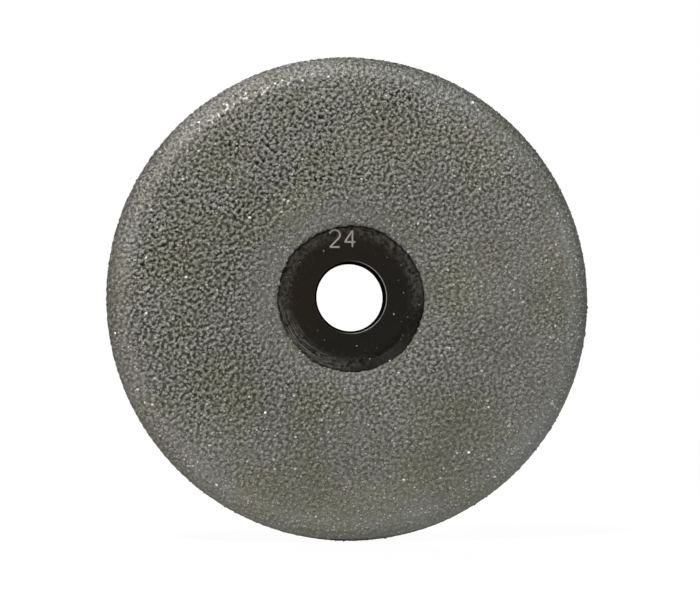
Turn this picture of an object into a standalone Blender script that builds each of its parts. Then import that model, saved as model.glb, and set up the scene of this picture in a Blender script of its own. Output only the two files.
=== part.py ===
"""Diamond grinding wheel with a hook-and-loop back.

A pressed steel disc with a recessed hub carries, on its front, a plated metal bond with
diamond grains and, on its back, a film of adhesive, a knitted ground cloth and a loop pile.
The wheel stands upright: its spin axis is world Y, the abrasive face looks along -Y and
the loop face along +Y. The origin is the centre of the bounding box.

Each piece is modelled with its axis on local +Z, abrasive side up, under one empty that
stands the wheel upright. Units are metres.
"""

import math
import random

import bmesh
import bpy

MM = 0.001

# ---- driving dimensions, millimetres -------------------------------------------------
OUTER_D = 100.0  # over the grains
STEEL_R = 49.68  # steel body, outside radius
BORE_R = 6.95  # plain bore through the steel
BORE_CHAMFER = 0.55  # front edge of the bore
HUB_FLOOR_H = 2.80  # hub floor above the steel's back face
HUB_FLOOR_R = 13.3  # where the hub floor would meet the short steep slope
HUB_FILLET = 1.7
GRIT_INNER_R = 15.05  # the plated area starts here
SHOULDER = (15.5, 3.95)  # top of the short steep slope (radius, height)
CREST = (20.9, 4.95)  # top of the long gentle slope
CROWN = (31.5, 5.20)  # highest point of the crowned face
RIM_BREAK_H = 4.92  # face height projected to the rim
RIM_ROLL_R = 4.30  # radius of the rolled rim
EDGE_BREAK = 0.28  # small break of the back edge
GRIT_OUTER_H = 0.95  # the plated area ends this high on the rim
CLEAR = 0.02  # clearance between neighbouring layers
BOND_T = 0.22  # plated bond
GRAIN_BASE_T = 0.10  # least thickness of the grain layer
GRAIN_STAND = 0.19  # how far grains stand above that base
FILM_T = 0.15
FILM_R = (7.15, 49.0)
CLOTH_T = 0.55
CLOTH_R = (7.12, 49.40)
PILE_T = 1.20
PILE_R = (7.05, 49.55)
PILE_ROUND = 0.35

SEGMENTS = 72  # facets round every turned piece
GRAIN_FACET = 3.3  # longest grain facet along the profile


# ---- profile helpers --------------------------------------------------------------------
def rounded(points, arc_step=math.radians(15.0)):
    """A polyline of (r, h, fillet radius) corners with each inner corner turned into an arc."""
    out = [(points[0][0], points[0][1])]
    for before, corner, after in zip(points, points[1:], points[2:]):
        r = corner[2]
        ax, ay = before[0] - corner[0], before[1] - corner[1]
        bx, by = after[0] - corner[0], after[1] - corner[1]
        la, lb = math.hypot(ax, ay), math.hypot(bx, by)
        ax, ay, bx, by = ax / la, ay / la, bx / lb, by / lb
        between = math.acos(max(-1.0, min(1.0, ax * bx + ay * by)))
        turn = math.pi - between
        if r <= 0 or turn < 1e-6:
            out.append((corner[0], corner[1]))
            continue
        reach = r / math.tan(between / 2)
        mx, my = ax + bx, ay + by
        lm = math.hypot(mx, my)
        away = r / math.sin(between / 2)
        cx, cy = corner[0] + mx / lm * away, corner[1] + my / lm * away
        sx, sy = corner[0] + ax * reach - cx, corner[1] + ay * reach - cy
        side = 1.0 if sx * (by) - sy * (bx) > 0 else -1.0
        steps = max(1, round(turn / arc_step))
        for k in range(steps + 1):
            a = side * turn * k / steps
            out.append(
                (
                    cx + sx * math.cos(a) - sy * math.sin(a),
                    cy + sx * math.sin(a) + sy * math.cos(a),
                )
            )
    out.append((points[-1][0], points[-1][1]))
    return out


def split_at(points, test):
    """Adds the point where test changes sign along the polyline, and returns its index too."""
    for i, (a, b) in enumerate(zip(points, points[1:])):
        ta, tb = test(a), test(b)
        if abs(tb) < 1e-9:
            return points, i + 1
        if ta * tb < 0:
            t = ta / (ta - tb)
            p = (a[0] + (b[0] - a[0]) * t, a[1] + (b[1] - a[1]) * t)
            return points[: i + 1] + [p] + points[i + 1 :], i + 1
    raise ValueError("the profile never crosses")


def normals(points):
    """Outward normals of a front profile that runs from the hub to the rim."""
    out = []
    for i in range(len(points)):
        x = y = 0.0
        for a, b in ((i - 1, i), (i, i + 1)):
            if a >= 0 and b < len(points):
                dx, dy = points[b][0] - points[a][0], points[b][1] - points[a][1]
                length = math.hypot(dx, dy)
                x, y = x - dy / length, y + dx / length
        length = math.hypot(x, y)
        out.append((x / length, y / length))
    return out


def offset(points, by):
    return [(p[0] + n[0] * by, p[1] + n[1] * by) for p, n in zip(points, normals(points))]


def divided(points, longest):
    """The same polyline with its long straight runs cut into equal shorter ones."""
    out = [points[0]]
    for a, b in zip(points, points[1:]):
        pieces = max(1, math.ceil(math.hypot(b[0] - a[0], b[1] - a[1]) / longest))
        for k in range(1, pieces + 1):
            t = k / pieces
            out.append((a[0] + (b[0] - a[0]) * t, a[1] + (b[1] - a[1]) * t))
    return out


# ---- scene helpers ----------------------------------------------------------------------
def material(name, colour, roughness, metallic):
    made = bpy.data.materials.new(name)
    made.use_nodes = True
    shader = made.node_tree.nodes["Principled BSDF"]
    shader.inputs["Base Color"].default_value = (*colour, 1.0)
    shader.inputs["Roughness"].default_value = roughness
    shader.inputs["Metallic"].default_value = metallic
    made.diffuse_color = (*colour, 1.0)
    return made


def add_object(name, mesh, parent, mat, sharp_deg=35.0):
    mesh.materials.append(mat)
    mesh.shade_smooth()
    mesh.set_sharp_from_angle(angle=math.radians(sharp_deg))
    made = bpy.data.objects.new(name, mesh)
    bpy.context.scene.collection.objects.link(made)
    made.parent = parent
    return made


def turned(name, profile, parent, mat, lift):
    """A piece of revolution: a closed (r, h) profile spun round local Z by a Screw modifier."""
    mesh = bpy.data.meshes.new(name)
    area = sum(
        a[0] * b[1] - b[0] * a[1] for a, b in zip(profile, profile[1:] + profile[:1])
    )
    if area > 0:  # the outer side has to run from top to bottom
        profile = profile[::-1]
    points = [(r * MM, 0.0, (h + lift) * MM) for r, h in profile]
    count = len(points)
    mesh.from_pydata(points, [(i, (i + 1) % count) for i in range(count)], [])
    mesh.materials.append(mat)
    made = bpy.data.objects.new(name, mesh)
    bpy.context.scene.collection.objects.link(made)
    made.parent = parent
    screw = made.modifiers.new("turn", "SCREW")
    screw.axis = "Z"
    screw.angle = 2 * math.pi
    screw.steps = SEGMENTS
    screw.render_steps = SEGMENTS
    screw.use_merge_vertices = True
    screw.merge_threshold = 0.00001
    screw.use_smooth_shade = True
    return made


def grain_layer(name, under, parent, mat, lift):
    """The grain layer: one closed ring whose outer side is rough, a facet to each group of grains."""
    chance = random.Random(50)
    line = divided(under, GRAIN_FACET)
    outward = normals(line)
    bm = bmesh.new()
    lower, upper = [], []
    for i, (p, n) in enumerate(zip(line, outward)):
        low_ring, high_ring = [], []
        at_end = i in (0, len(line) - 1)
        for j in range(SEGMENTS):
            turn = 2 * math.pi * j / SEGMENTS
            stand = GRAIN_BASE_T + (0.0 if at_end else GRAIN_STAND * chance.random())
            r, h = p[0] + n[0] * stand, p[1] + n[1] * stand
            r = min(r, OUTER_D / 2)
            low_ring.append(
                bm.verts.new((p[0] * math.cos(turn) * MM, p[0] * math.sin(turn) * MM, (p[1] + lift) * MM))
            )
            high_ring.append(
                bm.verts.new((r * math.cos(turn) * MM, r * math.sin(turn) * MM, (h + lift) * MM))
            )
        lower.append(low_ring)
        upper.append(high_ring)
    for rings in (lower, upper):
        for a, b in zip(rings, rings[1:]):
            for j in range(SEGMENTS):
                k = (j + 1) % SEGMENTS
                bm.faces.new((a[j], a[k], b[k], b[j]))
    for a, b in ((lower[0], upper[0]), (lower[-1], upper[-1])):
        for j in range(SEGMENTS):
            k = (j + 1) % SEGMENTS
            bm.faces.new((a[j], a[k], b[k], b[j]))
    bmesh.ops.triangulate(bm, faces=bm.faces[:])
    bmesh.ops.recalc_face_normals(bm, faces=bm.faces[:])
    mesh = bpy.data.meshes.new(name)
    bm.to_mesh(mesh)
    bm.free()
    return add_object(name, mesh, parent, mat, 6.0)


def ring_section(radii, low, high, rounding=0.0):
    """A rectangular ring section, with the two corners at its low side rounded."""
    a, b = radii
    if rounding <= 0:
        return [(a, high), (b, high), (b, low), (a, low)]
    return rounded(
        [
            (a, high, 0.0),
            (b, high, 0.0),
            (b, low, rounding),
            (a, low, rounding),
            (a, high, 0.0),
        ],
        math.radians(45.0),
    )[:-1]


# ---- the wheel ----------------------------------------------------------------------------
for old in list(bpy.data.objects):
    bpy.data.objects.remove(old, do_unlink=True)

front = rounded(
    [
        (BORE_R + BORE_CHAMFER, HUB_FLOOR_H, 0.0),
        (HUB_FLOOR_R, HUB_FLOOR_H, HUB_FILLET),
        (*SHOULDER, 2.2),
        (*CREST, 12.0),
        (*CROWN, 90.0),
        (STEEL_R, RIM_BREAK_H, RIM_ROLL_R),
        (STEEL_R, EDGE_BREAK, 0.0),
    ]
)
front, first = split_at(front, lambda p: p[0] - GRIT_INNER_R)
front, last = split_at(front, lambda p: (p[1] - GRIT_OUTER_H) if p[0] > CROWN[0] else 1.0)
# the plated area needs the profile's own corners, so that its facets stay parallel to the steel's
plated = front[first : last + 1]

crest_top = max(
    p[1] for p in offset(plated, 2 * CLEAR + BOND_T + GRAIN_BASE_T + GRAIN_STAND)
)
pile_back = -(3 * CLEAR + FILM_T + CLOTH_T + PILE_T)
LIFT = -(crest_top + pile_back) / 2  # puts the origin half way between the two faces

steel_section = front + [
    (STEEL_R - EDGE_BREAK, 0.0),
    (BORE_R + 0.12, 0.0),
    (BORE_R, 0.12),
    (BORE_R, HUB_FLOOR_H - BORE_CHAMFER),
]
bond_section = offset(plated, CLEAR) + offset(plated, CLEAR + BOND_T)[::-1]

film_top = -CLEAR
cloth_top = film_top - FILM_T - CLEAR
pile_top = cloth_top - CLOTH_T - CLEAR

stand = bpy.data.objects.new("wheel_axis", None)
bpy.context.scene.collection.objects.link(stand)
stand.rotation_euler = (math.pi / 2, 0.0, 0.0)

black_steel = material("black_steel", (0.022, 0.019, 0.017), 0.24, 0.35)
nickel_bond = material("nickel_bond", (0.20, 0.195, 0.165), 0.45, 0.85)
diamond = material("diamond_grain", (0.36, 0.36, 0.32), 0.35, 0.30)
adhesive = material("adhesive", (0.62, 0.55, 0.38), 0.45, 0.0)
cloth = material("ground_cloth", (0.11, 0.004, 0.006), 0.9, 0.0)
loops = material("loop_nylon", (0.27, 0.009, 0.012), 0.85, 0.0)

turned("steel_body", steel_section, stand, black_steel, LIFT)
turned("bond_layer", bond_section, stand, nickel_bond, LIFT)
grain_layer("diamond_grit", offset(plated, 2 * CLEAR + BOND_T), stand, diamond, LIFT)
turned("adhesive_film", ring_section(FILM_R, film_top - FILM_T, film_top), stand, adhesive, LIFT)
turned("loop_ground_cloth", ring_section(CLOTH_R, cloth_top - CLOTH_T, cloth_top), stand, cloth, LIFT)
turned(
    "loop_pile",
    ring_section(PILE_R, pile_top - PILE_T, pile_top, PILE_ROUND),
    stand,
    loops,
    LIFT,
)
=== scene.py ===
"""Looks of the diamond grinding wheel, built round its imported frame.

Every piece is real geometry: a finely turned black steel body, a lumpy plated bond with
thousands of single plated-over grains standing in it, stray grains on the hub, a glue
film, a knitted ground cloth and a pile of single nylon loops.
"""

import math

import bmesh
import bpy
import numpy as np
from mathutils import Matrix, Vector


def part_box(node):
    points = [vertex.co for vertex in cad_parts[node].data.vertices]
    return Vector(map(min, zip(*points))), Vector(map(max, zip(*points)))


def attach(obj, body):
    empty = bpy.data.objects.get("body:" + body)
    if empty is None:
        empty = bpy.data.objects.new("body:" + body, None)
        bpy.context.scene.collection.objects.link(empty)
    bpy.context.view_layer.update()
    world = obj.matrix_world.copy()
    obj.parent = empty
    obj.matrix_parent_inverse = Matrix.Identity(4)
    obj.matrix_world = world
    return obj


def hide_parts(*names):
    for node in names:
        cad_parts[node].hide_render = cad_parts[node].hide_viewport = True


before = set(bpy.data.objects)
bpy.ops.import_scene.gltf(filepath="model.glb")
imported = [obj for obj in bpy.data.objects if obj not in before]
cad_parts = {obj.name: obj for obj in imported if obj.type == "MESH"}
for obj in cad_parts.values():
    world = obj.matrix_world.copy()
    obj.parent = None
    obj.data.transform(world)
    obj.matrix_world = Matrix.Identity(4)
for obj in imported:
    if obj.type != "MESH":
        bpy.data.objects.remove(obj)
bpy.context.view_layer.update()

MM = 0.001
TAU = 2 * math.pi
BAKE_UV = "OFBake"

# ---- places and sizes from the frame -------------------------------------------------------
steel_lo, steel_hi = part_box("steel_body")
grit_lo, grit_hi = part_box("diamond_grit")
film_lo, film_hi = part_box("adhesive_film")
cloth_lo, cloth_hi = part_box("loop_ground_cloth")
pile_lo, pile_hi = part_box("loop_pile")

Y_BACK = steel_hi.y / MM  # the steel's flat back, and height 0 of the profile
STEEL_R = steel_hi.x / MM
WHEEL_R = grit_hi.x / MM
FACE_H = Y_BACK - steel_lo.y / MM  # the steel's highest point
BORE_R, BORE_CHAMFER = 6.95, 0.55
HUB_H = 2.80
PLATED_R = 15.05
PLATED_H = 0.95
EDGE_BREAK = 0.28


# ---- small numeric tools -----------------------------------------------------------------
class Noise:
    """Smooth value noise on a hashed lattice, mean 0, about -1 to 1."""

    def __init__(self, seed, size=512):
        self.size = size
        self.table = np.random.default_rng(seed).random((size, size)) * 2 - 1

    def __call__(self, x, y):
        xi, yi = np.floor(x).astype(int), np.floor(y).astype(int)
        fx, fy = x - xi, y - yi
        u, v = fx * fx * (3 - 2 * fx), fy * fy * (3 - 2 * fy)
        n = self.size
        a = self.table[xi % n, yi % n]
        b = self.table[(xi + 1) % n, yi % n]
        c = self.table[xi % n, (yi + 1) % n]
        d = self.table[(xi + 1) % n, (yi + 1) % n]
        return (a * (1 - u) + b * u) * (1 - v) + (c * (1 - u) + d * u) * v

    def fractal(self, x, y, octaves=3):
        total, amount, out = 0.0, 1.0, 0.0
        for k in range(octaves):
            out = out + amount * self(x * 2**k + 17.3 * k, y * 2**k - 9.1 * k)
            total += amount
            amount *= 0.5
        return out / total


def smoothstep(lo, hi, x):
    t = np.clip((x - lo) / (hi - lo), 0, 1)
    return t * t * (3 - 2 * t)


def rounded(points, arc_step):
    """A polyline of (r, h, fillet radius) corners with each inner corner turned into an arc."""
    out = [(points[0][0], points[0][1])]
    for before, corner, after in zip(points, points[1:], points[2:]):
        r = corner[2]
        ax, ay = before[0] - corner[0], before[1] - corner[1]
        bx, by = after[0] - corner[0], after[1] - corner[1]
        la, lb = math.hypot(ax, ay), math.hypot(bx, by)
        ax, ay, bx, by = ax / la, ay / la, bx / lb, by / lb
        between = math.acos(max(-1.0, min(1.0, ax * bx + ay * by)))
        turn = math.pi - between
        if r <= 0 or turn < 1e-6:
            out.append((corner[0], corner[1]))
            continue
        reach = r / math.tan(between / 2)
        mx, my = ax + bx, ay + by
        lm = math.hypot(mx, my)
        away = r / math.sin(between / 2)
        cx, cy = corner[0] + mx / lm * away, corner[1] + my / lm * away
        sx, sy = corner[0] + ax * reach - cx, corner[1] + ay * reach - cy
        side = 1.0 if sx * by - sy * bx > 0 else -1.0
        steps = max(2, round(turn / arc_step))
        for k in range(steps + 1):
            a = side * turn * k / steps
            out.append(
                (
                    cx + sx * math.cos(a) - sy * math.sin(a),
                    cy + sx * math.sin(a) + sy * math.cos(a),
                )
            )
    out.append((points[-1][0], points[-1][1]))
    return out


class Profile:
    """The front profile of the steel as a function of its run length, in millimetres."""

    def __init__(self, points):
        p = np.array(points)
        step = np.hypot(*np.diff(p, axis=0).T)
        keep = np.concatenate([[True], step > 1e-9])
        p = p[keep]
        s = np.concatenate([[0.0], np.cumsum(np.hypot(*np.diff(p, axis=0).T))])
        fine = np.linspace(0, s[-1], 6000)
        r, h = np.interp(fine, s, p[:, 0]), np.interp(fine, s, p[:, 1])
        k = np.ones(61) / 61  # rounds each joint of line and arc over about half a millimetre
        tr, th = np.gradient(r), np.gradient(h)
        tr = np.convolve(np.pad(tr, 30, "edge"), k, "valid")
        th = np.convolve(np.pad(th, 30, "edge"), k, "valid")
        length = np.hypot(tr, th)
        self.s, self.r, self.h = fine, r, h
        self.nr, self.nh = -th / length, tr / length

    def at(self, s):
        return (
            np.interp(s, self.s, self.r),
            np.interp(s, self.s, self.h),
            np.interp(s, self.s, self.nr),
            np.interp(s, self.s, self.nh),
        )


CORNERS = [
    (BORE_R + BORE_CHAMFER, HUB_H, 0.0),
    (13.3, HUB_H, 1.7),
    (15.5, 3.95, 2.2),
    (20.9, 4.95, 12.0),
    (31.5, 5.20, 90.0),
    (STEEL_R, 4.92, 4.30),
    (STEEL_R, EDGE_BREAK, 0.0),
]
front = Profile(rounded(CORNERS, math.radians(2.0)))
S_IN = float(np.interp(PLATED_R, front.r[front.r < 30], front.s[front.r < 30]))
rim = front.s > front.s[-1] - 8
S_OUT = float(
    front.s[rim][np.argmin(np.abs(front.h[rim] - PLATED_H))]
)  # where the plating ends on the rim
RHO_IN, RHO_OUT = PLATED_R, PLATED_R + S_OUT - S_IN  # the plated ring, rolled out flat


def on_front(rho, theta, t):
    """Points over the plated ring: rho is the rolled-out radius, t the height along the normal."""
    r, h, nr, nh = front.at(rho - RHO_IN + S_IN)
    r, h = r + nr * t, h + nh * t
    return np.stack([r * np.cos(theta), Y_BACK - h, r * np.sin(theta)], -1)


def front_normal(rho, theta):
    _, _, nr, nh = front.at(rho - RHO_IN + S_IN)
    return np.stack([nr * np.cos(theta), -nh, nr * np.sin(theta)], -1)


# ---- mesh tools ---------------------------------------------------------------------------
def make_mesh(name, co, faces, uv=None, smooth=True, tone=None):
    """A mesh object from points in millimetres and triangles; uv is given per point."""
    me = bpy.data.meshes.new(name)
    co = np.ascontiguousarray(co, np.float64) * MM
    faces = np.ascontiguousarray(faces, np.int32)
    me.vertices.add(len(co))
    me.vertices.foreach_set("co", co.astype(np.float32).ravel())
    me.loops.add(faces.size)
    me.loops.foreach_set("vertex_index", faces.ravel())
    me.polygons.add(len(faces))
    me.polygons.foreach_set("loop_start", np.arange(0, faces.size, faces.shape[1], dtype=np.int32))
    me.polygons.foreach_set("use_smooth", np.full(len(faces), smooth))
    me.update(calc_edges=True)
    if me.validate():
        print("mesh", name, "was repaired")
    if uv is not None:
        layer = me.uv_layers.new(name=BAKE_UV)
        layer.data.foreach_set("uv", np.ascontiguousarray(uv[faces.ravel()], np.float32).ravel())
    if tone is not None:
        a = me.attributes.new("tone", "FLOAT", "POINT")
        a.data.foreach_set("value", np.ascontiguousarray(tone, np.float32))
    ob = bpy.data.objects.new(name, me)
    bpy.context.scene.collection.objects.link(ob)
    return ob


def piece(ob, mat, slot, *nodes):
    ob.data.materials.append(mat)
    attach(ob, "root")
    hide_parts(*nodes)
    return ob


def ring_counts(rhos, spacing, least=24):
    return [max(least, int(round(TAU * rho / spacing))) for rho in rhos]


def zipped_rings(counts, starts, turns):
    """Triangles that join each ring of points to the next, whatever their counts."""
    out = []
    for i in range(len(counts) - 1):
        n, m = counts[i], counts[i + 1]
        a = (np.arange(n) + turns[i]) / n
        b = (np.arange(m) + turns[i + 1]) / m
        mid_a, mid_b = a + 0.5 / n, b + 0.5 / m
        # inner steps take the outer point they are level with, and the other way round
        j = np.searchsorted(mid_b, mid_a, side="left")
        k = np.searchsorted(mid_a, mid_b, side="right")
        ia = np.arange(n)
        ib = np.arange(m)
        s, e = starts[i], starts[i + 1]
        out.append(np.stack([s + ia, e + j % m, s + (ia + 1) % n], -1))
        out.append(np.stack([e + ib, e + (ib + 1) % m, s + k % n], -1))
    return np.concatenate(out)


def ring_grid(rhos, spacing):
    """Points (rho, theta) on rings with an even spacing, and the triangles between them."""
    counts = ring_counts(rhos, spacing)
    turns = [0.5 * (i % 2) for i in range(len(counts))]
    starts = np.concatenate([[0], np.cumsum(counts)])[:-1]
    rho = np.concatenate([np.full(n, r) for n, r in zip(counts, rhos)])
    theta = np.concatenate([(np.arange(n) + t) / n * TAU for n, t in zip(counts, turns)])
    return rho, theta, zipped_rings(counts, list(starts), turns), counts, list(starts)


def flat_uv(x, z, reach):
    return np.stack([0.5 + 0.5 * x / reach, 0.5 + 0.5 * z / reach], -1)


def lathe(name, section, segments, wobble=None, uv_of=None):
    """A closed turned body from a closed (r, h) section; wobble(r, h, theta) may move points a little."""
    p = np.array(section)
    n = len(p)
    th = np.arange(segments) / segments * TAU
    r = np.repeat(p[:, 0][:, None], segments, 1)
    h = np.repeat(p[:, 1][:, None], segments, 1)
    t = np.repeat(th[None], n, 0)
    if wobble is not None:
        r, h = wobble(r, h, t)
    co = np.stack([r * np.cos(t), Y_BACK - h, r * np.sin(t)], -1).reshape(-1, 3)
    i = np.arange(n)[:, None] * segments
    i2 = (np.arange(n)[:, None] + 1) % n * segments
    j = np.arange(segments)[None]
    j2 = (j + 1) % segments
    quads = np.stack([i + j, i + j2, i2 + j2, i2 + j], -1).reshape(-1, 4)
    area = np.sum(p[:, 0] * np.roll(p[:, 1], -1) - np.roll(p[:, 0], -1) * p[:, 1])
    if area > 0:
        quads = quads[:, ::-1]
    uv = uv_of(r.ravel(), h.ravel(), t.ravel()) if uv_of else None
    return make_mesh(name, co, quads, uv)


def poisson_ring(rng, rho_in, rho_out, gap):
    """Points in the rolled-out ring, no two closer than gap(x, z) says; returns x, z."""
    cell = 0.5
    reach = rho_out + 1
    size = int(2 * reach / cell) + 3
    grid = [[] for _ in range(size * size)]
    xs, zs, gs = [], [], []
    area = math.pi * (rho_out**2 - rho_in**2)
    tries = int(area / 0.55**2 * 9)
    u, v = rng.random(tries), rng.random(tries)
    rho = np.sqrt(u * (rho_out**2 - rho_in**2) + rho_in**2)
    th = v * TAU
    X, Z = rho * np.cos(th), rho * np.sin(th)
    G = gap(X, Z)
    CX, CZ = ((X + reach) / cell).astype(int), ((Z + reach) / cell).astype(int)
    for x, z, g, cx, cz in zip(X.tolist(), Z.tolist(), G.tolist(), CX.tolist(), CZ.tolist()):
        ok = True
        for ax in range(cx - 2, cx + 3):
            for az in range(cz - 2, cz + 3):
                for k in grid[ax * size + az]:
                    d = (xs[k] - x) ** 2 + (zs[k] - z) ** 2
                    least = 0.5 * (g + gs[k])
                    if d < least * least:
                        ok = False
                        break
                if not ok:
                    break
            if not ok:
                break
        if ok:
            grid[cx * size + cz].append(len(xs))
            xs.append(x)
            zs.append(z)
            gs.append(g)
    return np.array(xs), np.array(zs)


def random_turns(rng, count):
    """Random rotation matrices."""
    q = rng.normal(size=(count, 4))
    q /= np.linalg.norm(q, axis=1)[:, None]
    w, x, y, z = q.T
    return np.stack(
        [
            np.stack([1 - 2 * (y * y + z * z), 2 * (x * y - z * w), 2 * (x * z + y * w)], -1),
            np.stack([2 * (x * y + z * w), 1 - 2 * (x * x + z * z), 2 * (y * z - x * w)], -1),
            np.stack([2 * (x * z - y * w), 2 * (y * z + x * w), 1 - 2 * (x * x + y * y)], -1),
        ],
        1,
    )


# ---- material tools ------------------------------------------------------------------------
class Nodes:
    """A short way to write a node material."""

    def __init__(self, name):
        self.mat = bpy.data.materials.new(name)
        self.mat.use_nodes = True
        self.nt = self.mat.node_tree
        self.bsdf = self.nt.nodes["Principled BSDF"]

    def new(self, kind, **inputs):
        n = self.nt.nodes.new(kind)
        for key, value in inputs.items():
            if hasattr(n, key):
                setattr(n, key, value)
            else:
                self.put(n.inputs[key.replace("_", " ")], value)
        return n

    def put(self, socket, value):
        if isinstance(value, bpy.types.NodeSocket):
            self.nt.links.new(value, socket)
        elif isinstance(value, (tuple, list)) and len(value) == 3 and socket.type == "RGBA":
            socket.default_value = (*value, 1.0)
        else:
            socket.default_value = value

    def set(self, **inputs):
        for key, value in inputs.items():
            self.put(self.bsdf.inputs[key.replace("_", " ")], value)

    def math(self, op, a, b=0.0, c=0.0, clamp=False):
        n = self.nt.nodes.new("ShaderNodeMath")
        n.operation = op
        n.use_clamp = clamp
        for k, v in enumerate((a, b, c)):
            self.put(n.inputs[k], v)
        return n.outputs[0]

    def mix(self, factor, a, b, blend="MIX"):
        n = self.nt.nodes.new("ShaderNodeMix")
        n.data_type = "RGBA"
        n.blend_type = blend
        self.put(n.inputs["Factor"], factor)
        self.put(n.inputs[6], a)
        self.put(n.inputs[7], b)
        return n.outputs[2]

    def scaled(self, colour, by):
        n = self.nt.nodes.new("ShaderNodeVectorMath")
        n.operation = "SCALE"
        self.put(n.inputs[0], colour)
        self.put(n.inputs["Scale"], by)
        return n.outputs[0]

    def spread(self, value, lo, hi, to_lo=0.0, to_hi=1.0, smooth=False):
        n = self.nt.nodes.new("ShaderNodeMapRange")
        if smooth:
            n.interpolation_type = "SMOOTHSTEP"
        for k, v in enumerate((value, lo, hi, to_lo, to_hi)):
            self.put(n.inputs[k], v)
        return n.outputs[0]

    def place(self):
        """Object position in millimetres, so that scales read as pieces per millimetre."""
        if not hasattr(self, "_place"):
            tc = self.nt.nodes.new("ShaderNodeTexCoord")
            n = self.nt.nodes.new("ShaderNodeVectorMath")
            n.operation = "SCALE"
            self.put(n.inputs[0], tc.outputs["Object"])
            n.inputs["Scale"].default_value = 1000.0
            self._place = n.outputs[0]
        return self._place

    def polar(self):
        """Radius in millimetres and angle, seen from the front."""
        n = self.nt.nodes.new("ShaderNodeSeparateXYZ")
        self.put(n.inputs[0], self.place())
        x, z = n.outputs[0], n.outputs[2]
        r = self.math("SQRT", self.math("ADD", self.math("MULTIPLY", x, x), self.math("MULTIPLY", z, z)))
        return r, self.math("ARCTAN2", z, x), x, z

    def polar_floor(self):
        """Distance from the wheel's foot over the floor, in metres."""
        tc = self.nt.nodes.new("ShaderNodeTexCoord")
        n = self.nt.nodes.new("ShaderNodeVectorMath")
        n.operation = "LENGTH"
        self.put(n.inputs[0], tc.outputs["Object"])
        return n.outputs["Value"]

    def noise(self, scale, detail=2.0, rough=0.5, where=None, distortion=0.0):
        n = self.nt.nodes.new("ShaderNodeTexNoise")
        n.inputs["Scale"].default_value = scale
        n.inputs["Detail"].default_value = detail
        n.inputs["Roughness"].default_value = rough
        n.inputs["Distortion"].default_value = distortion
        self.put(n.inputs["Vector"], where if where is not None else self.place())
        return n.outputs["Fac"]

    def bump(self, height, strength=0.3, distance=0.0001, normal=None):
        n = self.nt.nodes.new("ShaderNodeBump")
        n.inputs["Strength"].default_value = strength
        n.inputs["Distance"].default_value = distance
        self.put(n.inputs["Height"], height)
        if normal is not None:
            self.put(n.inputs["Normal"], normal)
        return n.outputs["Normal"]


# ---- the pattern of the plated face ----------------------------------------------------------
# A band of noise gives the short, branching lumps in which the plating gathers the grains.
CELL = 0.08
REACH = RHO_OUT + 1.2
SIDE = int(2 * REACH / CELL) + 2
SIDE += SIDE % 2


def band_noise(seed, wave, width):
    """A raster of noise with a chosen wavelength in millimetres, mean 0 and spread 1."""
    f = np.fft.rfft2(np.random.default_rng(seed).normal(size=(SIDE, SIDE)))
    k = np.hypot(np.fft.fftfreq(SIDE, CELL)[:, None], np.fft.rfftfreq(SIDE, CELL)[None])
    f *= np.exp(-(np.log(np.maximum(k, 1e-4) * wave) ** 2) / (2 * width**2))
    out = np.fft.irfft2(f, s=(SIDE, SIDE))
    return (out - out.mean()) / out.std()


def sample(raster, x, z):
    u, v = (x + REACH) / CELL, (z + REACH) / CELL
    i, j = np.clip(u.astype(int), 0, SIDE - 2), np.clip(v.astype(int), 0, SIDE - 2)
    fu, fv = np.clip(u - i, 0, 1), np.clip(v - j, 0, 1)
    return (
        raster[i, j] * (1 - fu) * (1 - fv)
        + raster[i + 1, j] * fu * (1 - fv)
        + raster[i, j + 1] * (1 - fu) * fv
        + raster[i + 1, j + 1] * fu * fv
    )


lumps = band_noise(41, 1.41, 0.50)
fine_lumps = band_noise(42, 0.42, 0.30)
streaks = band_noise(46, 4.0, 0.40)
wear_noise = Noise(31)
cloud_noise = Noise(53)


def relief(x, z):
    """How boldly the lumps stand out: softer by the hub and on the rim, boldest to the upper left."""
    rho, ang = np.hypot(x, z), np.degrees(np.arctan2(z, x))
    e = 0.66 + 0.40 * smoothstep(15.5, 23.0, rho)
    e = e * (1 - 0.53 * smoothstep(42.5, 46.8, rho)) * (1 - 0.36 * smoothstep(47.5, 50.5, rho))
    near = smoothstep(25.5, 18.5, rho)
    lean = 0.83 + 0.40 * np.tanh((0.93 * z - 1.07 * x) / 33)
    e = e * (lean * (1 - near) + (0.77 - 0.11 * (z - x) / (1.414 * rho)) * near)
    low = np.exp(-(((ang + 92) / 46.0) ** 2)) * smoothstep(32.0, 43.0, rho) * smoothstep(48.0, 45.5, rho)
    top_left = np.exp(-(((ang - 113) / 32.0) ** 2)) * smoothstep(43.5, 46.0, rho)
    e = e * (1 - 0.46 * low) * (1 + 0.62 * top_left)
    return e * (1 + 0.28 * wear_noise.fractal(x / 6.0, z / 6.0, 2))


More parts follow.
